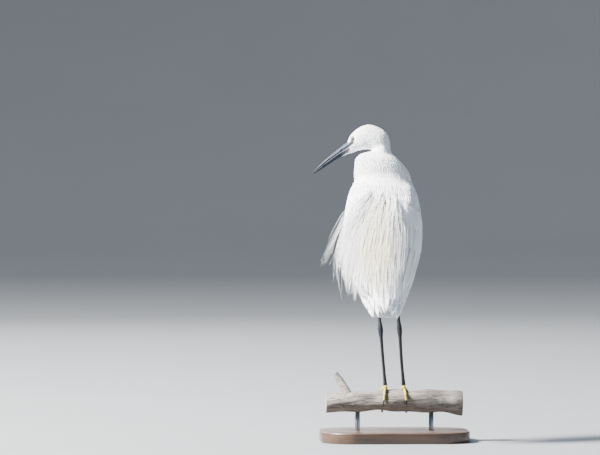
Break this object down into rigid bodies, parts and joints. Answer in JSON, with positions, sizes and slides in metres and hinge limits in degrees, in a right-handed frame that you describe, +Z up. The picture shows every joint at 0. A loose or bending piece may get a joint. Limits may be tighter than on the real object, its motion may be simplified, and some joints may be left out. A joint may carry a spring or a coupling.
{
  "type": "little egret model on a perch",
  "caption": "Life-size white heron-like wading bird at rest on a length of dead branch, neck drawn in, head turned to its left, long loose back plumes, on a plain display stand.",
  "frame": {"origin": "on the underside of the stand's base, under the middle of the stand and below the bird's feet", "axes": "+Z up, the bird's body faces -Y, its left and its bill are towards +X"},
  "size_m": [0.2598, 0.2279, 0.5319],
  "materials": {
    "plumage": "white feathers, matt, long loose plumes on the back",
    "bill_black": "blue-black horn with a soft sheen",
    "bill_pale": "dark horn, paler grey-pink at the base",
    "iris": "wet pale yellow-grey eye with a small dark pupil",
    "leg_black": "black scaled skin",
    "toe_yellow": "yellow scaled skin",
    "claw_black": "smooth dark horn",
    "dead_wood": "weathered grey dead branch with sawn ends",
    "stand_wood": "dark varnished board",
    "rod_steel": "plain round rod"
  },
  "bodies": {
    "root": {"torso": "plumage", "neck": "plumage", "head": "plumage", "tail": "plumage", "bill_upper": "bill_black", "bill_lower": "bill_pale", "perch": "dead_wood", "stand_base": "stand_wood", "wing_left": "plumage", "eye_left": "iris", "thigh_left": "plumage", "leg_left": "leg_black", "foot_left": "toe_yellow", "claw_left_outer": "claw_black", "claw_left_middle": "claw_black", "claw_left_inner": "claw_black", "claw_left_hind": "claw_black", "stand_rod_left": "rod_steel", "wing_right": "plumage", "eye_right": "iris", "thigh_right": "plumage", "leg_right": "leg_black", "foot_right": "toe_yellow", "claw_right_outer": "claw_black", "claw_right_middle": "claw_black", "claw_right_inner": "claw_black", "claw_right_hind": "claw_black", "stand_rod_right": "rod_steel"}
  },
  "joints": []
}
